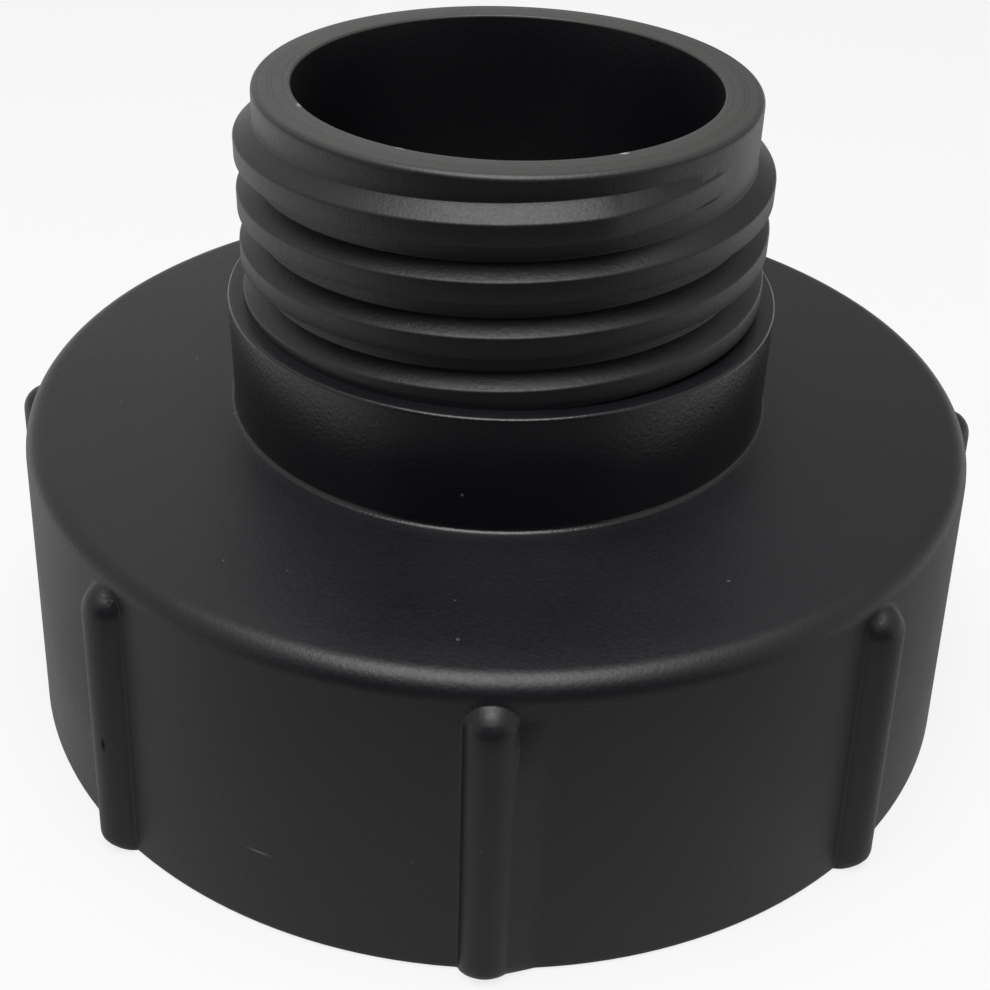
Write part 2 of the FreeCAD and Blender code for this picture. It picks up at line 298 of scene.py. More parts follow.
@dataclass(frozen=True)
class ThreadForm:
    """A single-start right-hand thread whose ridge sinks into its wall at both ends."""

    name: str
    side: Side
    pitch: float
    wall_radius: float
    crest_radius: float
    first_height: float
    first_angle: float
    full_angle: float
    run_angle: float
    crest_width: float
    upper_flank: float
    lower_flank: float
    lowest: float
    highest: float
    crest_rounds: Corner
    root_rounds: Corner
    steps: int
    under_wall: float = 0.25
    run_pace: float = 1.55

    @property
    def label(self) -> str:
        """The thread's name in the names of the tree's inputs."""
        return self.name.replace("_", " ").title()

    @property
    def depth(self) -> float:
        """The ridge's height over its wall."""
        return abs(self.crest_radius - self.wall_radius)

    @property
    def sunk(self) -> float:
        """How deep the ridge's ends sink."""
        return self.depth + self.under_wall

    def ridge(self) -> list[Corner]:
        """The ridge's rounded section.

        Returns:
            Heights from the crest's middle with the ridge's height there, over one pitch.
        """
        half = self.crest_width / 2
        upper = half + self.depth * math.tan(math.radians(self.upper_flank))
        lower = half + self.depth * math.tan(math.radians(self.lower_flank))
        corners = [
            (-self.pitch / 2, 0.0),
            (-lower, 0.0),
            (-half, self.depth),
            (half, self.depth),
            (upper, 0.0),
            (self.pitch / 2, 0.0),
        ]
        below, above = self.root_rounds
        return rounded(corners, [below, *self.crest_rounds, above], self.steps)

    def row_heights(self) -> list[float]:
        """The heights of the rows at the angle 0, from under the lowest to the highest."""
        middle = self.first_height - self.pitch * self.first_angle / FULL_TURN
        marks = [place for place, _ in self.ridge()[:-1]] + [0.0]
        floor = self.lowest - self.pitch
        first = math.floor((floor - middle) / self.pitch) - 1
        last = math.ceil((self.highest - middle) / self.pitch) + 1
        heights = [
            middle + turn * self.pitch + mark for turn in range(first, last + 1) for mark in marks
        ]
        inside = sorted(height for height in heights if floor < height < self.highest)
        return [floor, *inside, self.highest]

    def relief_group(self) -> bpy.types.GeometryNodeTree:
        """Writes the node group that gives the ridge's height at a place on the wall.

        Returns:
            The group, with an angle and a height going in and the ridge's height coming out.
        """
        tree = bpy.data.node_groups.new(f"{self.name}_relief", "GeometryNodeTree")
        for label in ("Angle", "Height", "Pitch", "Depth", "First Height", "First Angle",
                      "Full Angle", "Run Angle", "Sink"):
            tree.interface.new_socket(label, in_out="INPUT", socket_type="NodeSocketFloat")
        tree.interface.new_socket("Relief", in_out="OUTPUT", socket_type="NodeSocketFloat")
        sheet = NodeSheet(tree)
        given = sheet.add("NodeGroupInput").outputs
        pitch = given["Pitch"]
        past = sheet.math("SUBTRACT", given["Angle"], given["First Angle"])
        past = sheet.math("FLOORED_MODULO", past, FULL_TURN)
        climb = sheet.math("MULTIPLY", sheet.math("DIVIDE", past, FULL_TURN), pitch)
        middle = sheet.math("ADD", given["First Height"], climb)
        over = sheet.math("SUBTRACT", given["Height"], middle)
        turns = sheet.math("DIVIDE", over, pitch)
        turn = sheet.math("ROUND", turns)
        place = sheet.math("ADD", sheet.math("SUBTRACT", turns, turn), 0.5)
        section = [(mark / self.pitch + 0.5, height / self.depth) for mark, height in self.ridge()]
        full = sheet.math("MULTIPLY", sheet.curve(place, section), given["Depth"])
        along = sheet.math("ADD", past, sheet.math("MULTIPLY", turn, FULL_TURN))
        before = sheet.math("MULTIPLY", along, -1.0)
        after = sheet.math("SUBTRACT", along, given["Full Angle"])
        outside = sheet.math("MAXIMUM", sheet.math("MAXIMUM", before, after), 0.0)
        gone = sheet.math("DIVIDE", outside, given["Run Angle"], clamp=True)
        slowing = sheet.math("MULTIPLY", gone, self.run_pace - 1.0)
        eased = sheet.math("MULTIPLY", gone, sheet.math("SUBTRACT", self.run_pace, slowing))
        sinking = sheet.math("MULTIPLY", eased, given["Sink"])
        relief = sheet.math("MAXIMUM", sheet.math("SUBTRACT", full, sinking), 0.0)
        result = sheet.add("NodeGroupOutput")
        sheet.feed(result.inputs["Relief"], relief)
        return tree


@dataclass(frozen=True)
class RibForm:
    """The half-round grip ribs round the skirt, with a ball end and a blend at their feet."""

    count: int = 8
    radius: float = 2.8
    inset: float = 0.5
    ball_height: float = 32.0
    arc_steps: int = 13
    foot_blend: float = 0.28
    foot_curve: tuple[Corner, ...] = ((0.12, 0.55), (0.35, 0.28), (0.75, 0.10), (1.30, 0.0))
    reach: float = 5.6
    ramp_reach: float = 5.3
    ramp_width: float = 1.0
    ramp_height: float = 1.0
    ramp_top: float = 33.0
    ramp_fade: float = 4.0
    toe_height: float = 1.8
    toe_sink: float = 0.55

    def section(self) -> list[Corner]:
        """The rib's rounded half section.

        Returns:
            Distances from the rib's middle line with the rib's height over the skirt there.
        """
        foot = math.sqrt(self.radius**2 - self.inset**2)
        turns = [math.radians(90.0 * step / self.arc_steps) for step in range(self.arc_steps + 1)]
        half = [foot * math.sin(turn) for turn in turns]
        tops = [(x, math.sqrt(self.radius**2 - x * x) - self.inset) for x in half]
        kept = [(x, y) for x, y in tops if y > self.foot_blend]
        last, height = kept[-1]
        blend = [(last + self.foot_blend * out, height * left) for out, left in self.foot_curve]
        flat = (self.ramp_reach - self.ramp_width, self.ramp_reach, self.reach)
        return kept + blend + [(x, 0.0) for x in flat]

    def columns(self, skirt_radius: float, plain: int) -> list[float]:
        """The places of the columns over one rib's share of the skirt.

        Args:
            skirt_radius: The radius at which the rib stands.
            plain: How many columns the plain wall between two ribs has.

        Returns:
            Shares of the way from one rib's middle to the next, from 0 to 1.
        """
        share = math.radians(FULL_TURN / self.count)
        near = [math.asin(x / skirt_radius) / share for x, _ in self.section()]
        gap = 1.0 - 2 * near[-1]
        between = [near[-1] + gap * step / plain for step in range(1, plain)]
        return near + between + [1.0 - place for place in reversed(near)]


@dataclass(frozen=True)
class Mark:
    """A small egg-shaped mark on the surface, in millimetres."""

    middle: Spot
    reach: Spot
    strength: float
    fade: float = 1.2
    shoulder: float = 0.1

    def share(self, sheet: NodeSheet, place: Socket) -> Socket:
        """Adds the mark's share of the surface.

        Args:
            sheet: The tree that is being written.
            place: The place on the piece.

        Returns:
            The socket that holds the share.
        """
        shift = sheet.add("ShaderNodeVectorMath", operation="SUBTRACT")
        sheet.feed(shift.inputs[0], place)
        sheet.feed(shift.inputs[1], tuple(value * MM for value in self.middle))
        scaled = sheet.add("ShaderNodeVectorMath", operation="DIVIDE")
        sheet.feed(scaled.inputs[0], shift.outputs[0])
        sheet.feed(scaled.inputs[1], tuple(value * MM for value in self.reach))
        length = sheet.add("ShaderNodeVectorMath", operation="LENGTH")
        sheet.feed(length.inputs[0], scaled.outputs[0])
        near = sheet.math("SUBTRACT", self.fade, length.outputs["Value"], clamp=True)
        near = sheet.math("SMOOTH_MIN", near, 1.0, self.shoulder)
        return sheet.math("MULTIPLY", near, self.strength, clamp=True)


@dataclass(frozen=True)
class MouldedPlastic:
    """Black moulded plastic with a fine satin grain, the marks of handling and a painted sheen on
    the rim's top.
    """

    name: str = "moulded_plastic"
    dark: Spot = (0.0026, 0.0029, 0.0044)
    light: Spot = (0.0040, 0.0044, 0.0060)
    cloud_scale: float = 60.0
    cloud_detail: float = 4.0
    grain_size: float = 0.42
    grain_detail: float = 3.0
    grain_depth: float = 0.032
    gloss: float = 0.5
    pattern: Corner = (0.3, 0.7)
    roughness: Corner = (0.36, 0.48)
    smooth_radius: float = 32.2
    smooth_top: float = 50.9
    smoother: float = 0.16
    # turned: the lighter colour of the painted sheen on the rim's top, above rim_height, broken
    # into rings
    turned: Spot = (0.0380, 0.0380, 0.0355)
    rim_height: float = 74.72
    ring_scale: float = 2600.0
    ring_detail: float = 2.0
    ring_share: float = 1.7
    pale: Spot = (0.16, 0.16, 0.15)
    speck_spacing: float = 3.4
    speck_chance: float = 0.68
    speck_size: float = 0.20
    speck_share: float = 0.40
    flash: Spot = (0.45, 0.46, 0.46)
    scuff: Mark = Mark((-23.6, -52.5, 10.6), (1.5, 1.5, 0.18), 0.5)
    nick: Mark = Mark((-41.25, -42.8, 15.8), (0.28, 1.0, 1.1), 1.0)
    bits: tuple[Mark, ...] = (
        Mark((-9.9, -21.2, 75.0), (0.9, 0.4, 0.4), 1.0),
        Mark((11.2, -20.9, 75.0), (0.6, 0.4, 0.4), 1.0),
        Mark((-21.4, -10.0, 75.0), (0.4, 0.7, 0.4), 0.7),
    )

    def build(self) -> bpy.types.Material:
        """Writes the material.

        Returns:
            The material.
        """
        material = bpy.data.materials.new(self.name)
        material.use_nodes = True
        sheet = NodeSheet(material.node_tree)
        shader = material.node_tree.nodes["Principled BSDF"]
        place = sheet.add("ShaderNodeTexCoord").outputs["Object"]
        unhurt = sheet.math("SUBTRACT", 1.0, self.nick.share(sheet, place))
        shine = sheet.math("MULTIPLY", unhurt, self.gloss)
        sheet.feed(shader.inputs["Specular IOR Level"], shine)
        cloud = sheet.noise(place, self.cloud_scale, self.cloud_detail)
        grain = sheet.noise(place, 1.0 / (self.grain_size * MM), self.grain_detail)
        tint = sheet.blend(cloud, (*self.dark, 1.0), (*self.light, 1.0))
        # Painted sheen: the rim's top gets a lighter colour in place of its reflection.
        paint = self.painted_rim_sheen(sheet, place, tint)
        sheet.feed(shader.inputs["Base Color"], self.marks(sheet, place, paint))
        mixed = sheet.math("ADD", sheet.math("MULTIPLY", cloud, 0.5),
                           sheet.math("MULTIPLY", grain, 0.5))
        rough = sheet.spread(mixed, self.pattern, self.roughness)
        sheet.feed(shader.inputs["Roughness"], self.polish(sheet, place, rough))
        sheet.feed(shader.inputs["Normal"], sheet.bump(grain, self.grain_depth * MM))
        return material

    def polish(self, sheet: NodeSheet, place: Socket, rough: Socket) -> Socket:
        """Makes the collar and the bore smoother than the rest.

        Args:
            sheet: The tree that is being written.
            place: The place on the piece.
            rough: The roughness so far.

        Returns:
            The socket that holds the roughness.
        """
        parts = sheet.split(place)
        inside = sheet.math("LESS_THAN", sheet.squares(parts["X"], parts["Y"]),
                            (self.smooth_radius * MM) ** 2)
        below = sheet.math("LESS_THAN", parts["Z"], self.smooth_top * MM)
        eased = sheet.math("MULTIPLY", sheet.math("MULTIPLY", inside, below), self.smoother)
        return sheet.math("SUBTRACT", rough, eased)

    def painted_rim_sheen(self, sheet: NodeSheet, place: Socket, paint: Socket) -> Socket:
        """Paints a sheen onto the rim's top as a lighter colour, streaked with fine rings.

        Args:
            sheet: The tree that is being written.
            place: The place on the piece.
            paint: The colour so far.

        Returns:
            The socket that holds the colour.
        """
        parts = sheet.split(place)
        rings = sheet.add("ShaderNodeTexNoise", noise_dimensions="1D")
        radius = sheet.math("SQRT", sheet.squares(parts["X"], parts["Y"]))
        sheet.feed(rings.inputs["W"], radius)
        sheet.feed(rings.inputs["Scale"], self.ring_scale)
        sheet.feed(rings.inputs["Detail"], self.ring_detail)
        on_rim = sheet.math("GREATER_THAN", parts["Z"], self.rim_height * MM)
        streaks = sheet.math("MULTIPLY", rings.outputs["Fac"], self.ring_share)
        share = sheet.math("MULTIPLY", on_rim, streaks, clamp=True)
        # Mixes in the painted sheen on the rim's top.
        return sheet.blend(share, paint, (*self.turned, 1.0))

    def marks(self, sheet: NodeSheet, place: Socket, paint: Socket) -> Socket:
        """Adds pale dust specks, a scuff and bits of flash on the rim's inner edge.

        Args:
            sheet: The tree that is being written.
            place: The place on the piece.
            paint: The colour so far.

        Returns:
            The socket that holds the colour.
        """
        dust = sheet.add("ShaderNodeTexVoronoi")
        sheet.feed(dust.inputs["Vector"], place)
        sheet.feed(dust.inputs["Scale"], 1.0 / (self.speck_spacing * MM))
        chance = sheet.add("ShaderNodeSeparateColor")
        sheet.feed(chance.inputs[0], dust.outputs["Color"])
        over = sheet.math("SUBTRACT", chance.outputs[0], self.speck_chance)
        size = sheet.math("MULTIPLY", over, self.speck_size)
        specks = sheet.math("LESS_THAN", dust.outputs["Distance"], size)
        specks = sheet.math("MULTIPLY", specks, self.speck_share)
        worn = sheet.math("MAXIMUM", specks, self.scuff.share(sheet, place))
        paint = sheet.blend(worn, paint, (*self.pale, 1.0))
        edge = 0.0
        for bit in self.bits:
            edge = sheet.math("MAXIMUM", edge, bit.share(sheet, place))
        return sheet.blend(edge, paint, (*self.flash, 1.0))


@dataclass(frozen=True)
class GasketRubber:
    """Dull black rubber with a faint bloom."""

    name: str = "gasket_rubber"
    dark: Spot = (0.012, 0.012, 0.012)
    bloom: Spot = (0.030, 0.030, 0.031)
    cloud_scale: float = 90.0
    cloud_detail: float = 6.0
    roughness: Corner = (0.62, 0.82)
    relief: float = 0.02

    def build(self) -> bpy.types.Material:
        """Writes the material.

        Returns:
            The material.
        """
        material = bpy.data.materials.new(self.name)
        material.use_nodes = True
        sheet = NodeSheet(material.node_tree)
        shader = material.node_tree.nodes["Principled BSDF"]
        place = sheet.add("ShaderNodeTexCoord").outputs["Object"]
        cloud = sheet.noise(place, self.cloud_scale, self.cloud_detail)
        tint = sheet.blend(cloud, (*self.dark, 1.0), (*self.bloom, 1.0))
        sheet.feed(shader.inputs["Base Color"], tint)
        sheet.feed(shader.inputs["Roughness"], sheet.spread(cloud, (0.0, 1.0), self.roughness))
        sheet.feed(shader.inputs["Normal"], sheet.bump(cloud, self.relief * MM))
        return material


@dataclass
class SurfaceRow:
    """One row of the adapter's surface: its radius and height, and how they are used."""

    radius: float
    height: float
    zone: Zone = Zone.LEVEL


@dataclass
class AdapterBody:
    """The one-piece fitting: socket, skirt with ribs, shoulder, collar, threaded neck and bore."""

    finish: MouldedPlastic = field(default_factory=MouldedPlastic)
    ribs: RibForm = field(default_factory=RibForm)
    total_height: float = 75.0
    shoulder_height: float = 37.2
    shoulder_round: float = 2.5
    sealing_height: float = 32.2
    skirt_base_radius: float = 58.2
    skirt_top_radius: float = 56.0
    base_round: float = 0.4
    collar_radius: float = 31.8
    collar_foot_round: float = 0.6
    collar_edge_round: float = 0.4
    ledge_height: float = 50.95
    rim_outer_round: float = 0.7
    rim_inner_round: float = 0.3
    bore_radius: float = 23.5
    bore_foot_bevel: float = 1.0
    socket_mouth_bevel: float = 1.5
    mouth_step: float = 0.7
    skirt_heights: tuple[float, ...] = (0.8, 1.3, 1.8, 3.0, 7.0, 11.0, 15.0, 19.0, 23.0, 27.0, 30.0)
    ball_turns: tuple[float, ...] = (12.0, 24.0, 36.0, 48.0, 60.0)
    ball_rises: Corner = (2.62, 2.72)
    shoulder_rings: Spot = (50.0, 43.0, 37.0)
    collar_ring: float = 34.0
    ledge_ring: float = 30.5
    bore_heights: tuple[float, ...] = (70.0, 66.0, 58.0, 50.0, 42.0)
    face_rings: Spot = (30.0, 38.0, 45.0)
    base_steps: int = 3
    shoulder_steps: int = 9
    collar_steps: int = 4
    rim_steps: int = 6
    plain_columns: int = 18
    merge_distance: float = 0.004
    crisp_angle: float = 38.0
    neck_thread: ThreadForm = ThreadForm(
        name="neck_thread", side=Side.OUTWARD, pitch=6.0, wall_radius=27.8, crest_radius=30.0,
        first_height=40.25, first_angle=20.0, full_angle=1800.0, run_angle=42.0,
        crest_width=2.3, upper_flank=30.0, lower_flank=12.0, lowest=50.95, highest=74.3,
        crest_rounds=(0.06, 0.45), root_rounds=(0.3, 0.2), steps=4)
    socket_thread: ThreadForm = ThreadForm(
        name="socket_thread", side=Side.INWARD, pitch=8.0, wall_radius=50.4, crest_radius=47.6,
        first_height=6.5, first_angle=210.0, full_angle=756.0, run_angle=30.0,
        crest_width=2.6, upper_flank=8.0, lower_flank=30.0, lowest=1.5, highest=32.2,
        crest_rounds=(0.5, 0.5), root_rounds=(0.3, 0.5), steps=2)

    def wall(self, height: float) -> float:
        """The skirt's radius at a height."""
        lean = (self.skirt_base_radius - self.skirt_top_radius) / self.shoulder_height
        return self.skirt_base_radius - lean * height

    def skirt_rows(self) -> list[SurfaceRow]:
        """The rows up the skirt, over the shoulder and up the collar to the ledge."""
        top, ball, low = self.shoulder_height, self.ribs.ball_height, self.skirt_heights[0]
        rises = [self.ribs.radius * math.sin(math.radians(turn)) for turn in self.ball_turns]
        heights = [*self.skirt_heights, ball]
        heights += [ball + rise for rise in (*rises, *self.ball_rises)]
        base = rounded([(self.wall(0) - 2, 0), (self.wall(0), 0), (self.wall(low), low)],
                       [self.base_round], self.base_steps)
        crown = rounded([(self.wall(ball), ball), (self.wall(top), top), (self.collar_ring, top)],
                        [self.shoulder_round], self.shoulder_steps)
        rows = [SurfaceRow(r, z, Zone.RIBBED) for r, z in base[1:-1]]
        rows += [SurfaceRow(self.wall(z), z, Zone.RIBBED) for z in heights]
        rows += [SurfaceRow(r, z, Zone.RIBBED) for r, z in crown[1:-1]]
        rows += [SurfaceRow(r, top) for r in self.shoulder_rings]
        collar = rounded([(self.collar_ring, top), (self.collar_radius, top),
                          (self.collar_radius, self.ledge_height),
                          (self.ledge_ring, self.ledge_height)],
                         [self.collar_foot_round, self.collar_edge_round], self.collar_steps)
        return rows + [SurfaceRow(r, z) for r, z in collar]

    def rim_rows(self) -> list[SurfaceRow]:
        """The rows over the rim, down the bore and out along the sealing face."""
        top, neck, bore = self.total_height, self.neck_thread.wall_radius, self.bore_radius
        low, bevel = self.sealing_height, self.bore_foot_bevel
        rim = rounded([(neck, self.neck_thread.highest - 1), (neck, top), (bore, top),
                       (bore, self.bore_heights[0])],
                      [self.rim_outer_round, self.rim_inner_round], self.rim_steps)
        rows = rim[1:] + [(bore, z) for z in self.bore_heights[1:]]
        rows += [(bore, low + bevel), (bore + bevel, low)] + [(r, low) for r in self.face_rings]
        return [SurfaceRow(r, z) for r, z in rows]

    def rows(self) -> list[SurfaceRow]:
        """All rows in order, from the mouth's edge round the outside and back to it."""
        mouth, step = self.socket_thread.wall_radius + self.socket_mouth_bevel, self.mouth_step
        neck = [SurfaceRow(0, z, Zone.NECK_THREAD) for z in self.neck_thread.row_heights()]
        socket = [SurfaceRow(0, z, Zone.SOCKET_THREAD)
                  for z in reversed(self.socket_thread.row_heights())]
        edge = SurfaceRow(mouth, 0)
        return [edge, *self.skirt_rows(), *neck, *self.rim_rows(), *socket,
                SurfaceRow(mouth - step, step), edge]

    def thread_place(self, sheet: NodeSheet, form: ThreadForm, given: Sockets, angle: Socket,
                     base: Socket) -> tuple[Socket, Socket]:
        """Places a row that climbs with a thread.

        Args:
            sheet: The tree that is being written.
            form: The thread.
            given: The tree's inputs.
            angle: The column's angle.
            base: The row's height at the angle 0.

        Returns:
            The sockets of the radius and of the height.
        """
        pitch = given[f"{form.label} Pitch"]
        climb = sheet.math("MULTIPLY", sheet.math("DIVIDE", angle, FULL_TURN), pitch)
        height = sheet.math("MAXIMUM", sheet.math("ADD", base, climb), form.lowest)
        height = sheet.math("MINIMUM", height, form.highest)
        relief = sheet.add("GeometryNodeGroup", node_tree=form.relief_group())
        wall, crest = given[f"{form.label} Wall"], given[f"{form.label} Crest"]
        depth = sheet.math("ABSOLUTE", sheet.math("SUBTRACT", crest, wall))
        values = {
            "Angle": angle, "Height": height, "Pitch": pitch, "Depth": depth,
            "First Height": form.first_height, "First Angle": form.first_angle,
            "Full Angle": form.full_angle, "Run Angle": given[f"{form.label} Run Angle"],
            "Sink": form.sunk,
        }
        for name, value in values.items():
            sheet.feed(relief.inputs[name], value)
        step = sheet.math("MULTIPLY", relief.outputs[0], form.side.value)
        return sheet.math("ADD", wall, step), height

    def inputs(self) -> dict[str, float]:
        """The tree's named inputs with this fitting's sizes."""
        sizes = {"Rib Count": float(self.ribs.count)}
        for form in (self.neck_thread, self.socket_thread):
            sizes[f"{form.label} Pitch"] = form.pitch
            sizes[f"{form.label} Wall"] = form.wall_radius
            sizes[f"{form.label} Crest"] = form.crest_radius
            sizes[f"{form.label} Run Angle"] = form.run_angle
        return sizes

    def build_tree(self, material: bpy.types.Material) -> bpy.types.GeometryNodeTree:
        """Writes the tree that turns the rows round the axis and raises threads and ribs.

        Args:
            material: The finish that the tree sets.

        Returns:
            The tree.
        """
        tree = bpy.data.node_groups.new("turned_fitting", "GeometryNodeTree")
        tree.interface.new_socket("Rows", in_out="INPUT", socket_type="NodeSocketGeometry")
        for name, value in self.inputs().items():
            made = tree.interface.new_socket(name, in_out="INPUT", socket_type="NodeSocketFloat")
            made.default_value = value
        tree.interface.new_socket("Fitting", in_out="OUTPUT", socket_type="NodeSocketGeometry")
        sheet = NodeSheet(tree)
        given = sheet.add("NodeGroupInput").outputs
        count = sheet.add("GeometryNodeAttributeDomainSize", component="MESH")
        sheet.feed(count.inputs[0], given["Rows"])
        rows = count.outputs["Point Count"]
        columns = self.ribs.columns(self.wall(0), self.plain_columns)
        steps = float(len(columns) - 1)
        around = sheet.math("MULTIPLY", given["Rib Count"], steps)
        grid = sheet.add("GeometryNodeMeshGrid")
        sheet.feed(grid.inputs["Vertices X"], sheet.math("ADD", around, 1.0))
        sheet.feed(grid.inputs["Vertices Y"], rows)
        index = sheet.add("GeometryNodeInputIndex").outputs[0]
        column = sheet.math("FLOOR", sheet.math("DIVIDE", sheet.math("ADD", index, 0.5), rows))
        row = sheet.math("SUBTRACT", index, sheet.math("MULTIPLY", column, rows))
        spot = sheet.math("DIVIDE", sheet.math("MULTIPLY", column, given["Rib Count"]), around)
        sector = sheet.math("FLOOR", sheet.math("ADD", spot, ROUNDING))
        part = sheet.math("MAXIMUM", sheet.math("SUBTRACT", spot, sector), 0.0)
        share = sheet.curve(part, [(step / steps, place) for step, place in enumerate(columns)])
        sweep = sheet.math("DIVIDE", FULL_TURN, given["Rib Count"])
        angle = sheet.math("MULTIPLY", sheet.math("ADD", sector, share), sweep)

        place = sheet.add("GeometryNodeSampleIndex", data_type="FLOAT_VECTOR", domain="POINT")
        sheet.feed(place.inputs["Geometry"], given["Rows"])
        sheet.feed(place.inputs["Value"], sheet.add("GeometryNodeInputPosition").outputs[0])
        sheet.feed(place.inputs["Index"], row)
        parts = sheet.split(place.outputs[0])
        radius, zone, height = parts["X"], parts["Y"], parts["Z"]

        relief = self.rib_height(sheet, share, sweep, sector, radius, height)
        rib_radius = sheet.math("ADD", radius, relief)
        neck_radius, neck_height = self.thread_place(sheet, self.neck_thread, given, angle, height)
        socket_radius, socket_height = self.thread_place(
            sheet, self.socket_thread, given, angle, height)
        radius = sheet.pick(zone, Zone.RIBBED.value, rib_radius, radius)
        radius = sheet.pick(zone, Zone.NECK_THREAD.value, neck_radius, radius)
        radius = sheet.pick(zone, Zone.SOCKET_THREAD.value, socket_radius, radius)
        height = sheet.pick(zone, Zone.NECK_THREAD.value, neck_height, height)
        height = sheet.pick(zone, Zone.SOCKET_THREAD.value, socket_height, height)

        turned = sheet.math("RADIANS", sheet.math("ADD", angle, FRONT))
        metres = sheet.math("MULTIPLY", radius, MM)
        vector = sheet.add("ShaderNodeCombineXYZ")
        sheet.feed(vector.inputs["X"], sheet.math("MULTIPLY", metres, sheet.math("COSINE", turned)))
        sheet.feed(vector.inputs["Y"], sheet.math("MULTIPLY", metres, sheet.math("SINE", turned)))
        sheet.feed(vector.inputs["Z"], sheet.math("MULTIPLY", height, MM))
        moved = sheet.add("GeometryNodeSetPosition")
        sheet.feed(moved.inputs["Geometry"], grid.outputs["Mesh"])
        sheet.feed(moved.inputs["Position"], vector.outputs[0])
        merged = sheet.add("GeometryNodeMergeByDistance")
        sheet.feed(merged.inputs["Geometry"], moved.outputs[0])
        sheet.feed(merged.inputs["Distance"], self.merge_distance * MM)
        smooth = sheet.add("GeometryNodeSetShadeSmooth", domain="FACE")
        sheet.feed(smooth.inputs[0], merged.outputs[0])
        bend = sheet.add("GeometryNodeInputMeshEdgeAngle").outputs["Unsigned Angle"]
        crisp = sheet.add("GeometryNodeSetShadeSmooth", domain="EDGE")
        sheet.feed(crisp.inputs[0], smooth.outputs[0])
        sharp = sheet.math("GREATER_THAN", bend, math.radians(self.crisp_angle))
        sheet.feed(crisp.inputs["Selection"], sharp)
        sheet.feed(crisp.inputs["Shade Smooth"], False)
        real = sheet.add("GeometryNodeRealizeInstances")
        sheet.feed(real.inputs[0], crisp.outputs[0])
        dressed = sheet.add("GeometryNodeSetMaterial")
        sheet.feed(dressed.inputs["Geometry"], real.outputs[0])
        sheet.feed(dressed.inputs["Material"], material)
        sheet.feed(sheet.add("NodeGroupOutput").inputs[0], dressed.outputs[0])
        return tree

    def rib_height(self, sheet: NodeSheet, share: Socket, sweep: Socket, sector: Socket,
                   radius: Socket, height: Socket) -> Socket:
        """Gives the height of the nearest rib over the skirt.

        The middle rib also has a shallow ramp along its right side.

        Args:
            sheet: The tree that is being written.
            share: The column's way from one rib to the next, from 0 to 1.
            sweep: The angle from one rib to the next.
            sector: The number of the rib before the column, from the middle rib on.
            radius: The row's radius.
            height: The row's height.

        Returns:
            The socket that holds the rib's height.
        """
        near = sheet.math("MINIMUM", share, sheet.math("SUBTRACT", 1.0, share))
        turned = sheet.math("RADIANS", sheet.math("MULTIPLY", near, sweep))
        across = sheet.math("MULTIPLY", radius, sheet.math("SINE", turned))
        above = sheet.math("MAXIMUM", sheet.math("SUBTRACT", height, self.ribs.ball_height), 0.0)
        away = sheet.math("SQRT", sheet.squares(across, above))
        distance = sheet.math("DIVIDE", away, self.ribs.reach)
        tallest = self.ribs.radius - self.ribs.inset
        section = [(x / self.ribs.reach, y / tallest) for x, y in self.ribs.section()]
        inside = sheet.math("MINIMUM", distance, 1.0)
        rib = sheet.math("MULTIPLY", sheet.curve(inside, section), tallest)
        left = sheet.math("SUBTRACT", self.ribs.ramp_reach, away)
        slope = self.ribs.ramp_height / (self.ribs.ramp_reach - self.ribs.radius)
        ramp = sheet.math("MAXIMUM", sheet.math("MULTIPLY", left, slope), 0.0)
        ramp = sheet.math("MULTIPLY", ramp, sheet.math("LESS_THAN", share, 0.5))
        below = sheet.math("SUBTRACT", self.ribs.ramp_top, height)
        fading = sheet.math("DIVIDE", below, self.ribs.ramp_fade, clamp=True)
        ramp = sheet.math("MULTIPLY", ramp, fading)
        raised = sheet.math("MAXIMUM", rib, sheet.pick(sector, 0, ramp, 0.0))
        toe = sheet.math("SUBTRACT", 1.0, sheet.math("DIVIDE", height, self.ribs.toe_height),
                         clamp=True)
        sunk = sheet.math("MULTIPLY", sheet.math("POWER", toe, 2.0), self.ribs.toe_sink)
        return sheet.math("MULTIPLY", raised, sheet.math("SUBTRACT", 1.0, sunk))

    def build(self) -> bpy.types.Object:
        """Makes the fitting.

        Returns:
            The finished object.
        """
        rows = self.rows()
        mesh = bpy.data.meshes.new("fitting_rows")
        mesh.from_pydata([(row.radius, float(row.zone.value), row.height) for row in rows],
                         [(step, step + 1) for step in range(len(rows) - 1)], [])
        holder = bpy.data.objects.new("fitting_rows", mesh)
        bpy.context.scene.collection.objects.link(holder)
        tree = self.build_tree(self.finish.build())
        modifier = holder.modifiers.new("turned", "NODES")
        modifier.node_group = tree
        sizes = self.inputs()
        for item in tree.interface.items_tree:
            if item.in_out == "INPUT" and item.name in sizes:
                modifier[item.identifier] = sizes[item.name]
        piece = plain_copy(holder, "adapter_shell")
        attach(piece, "root")
        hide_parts("adapter_body")
        return piece


def plain_copy(holder: bpy.types.Object, name: str) -> bpy.types.Object:
    """Turns an object and its modifiers into a plain mesh.

    Args:
        holder: The object, which is removed.
        name: The new object's name.

    Returns:
        The new object.
    """
    graph = bpy.context.evaluated_depsgraph_get()
    mesh = bpy.data.meshes.new_from_object(holder.evaluated_get(graph))
    mesh.name = name
    holder.modifiers.clear()
    bpy.data.objects.remove(holder)
    piece = bpy.data.objects.new(name, mesh)
    bpy.context.scene.collection.objects.link(piece)
    return piece


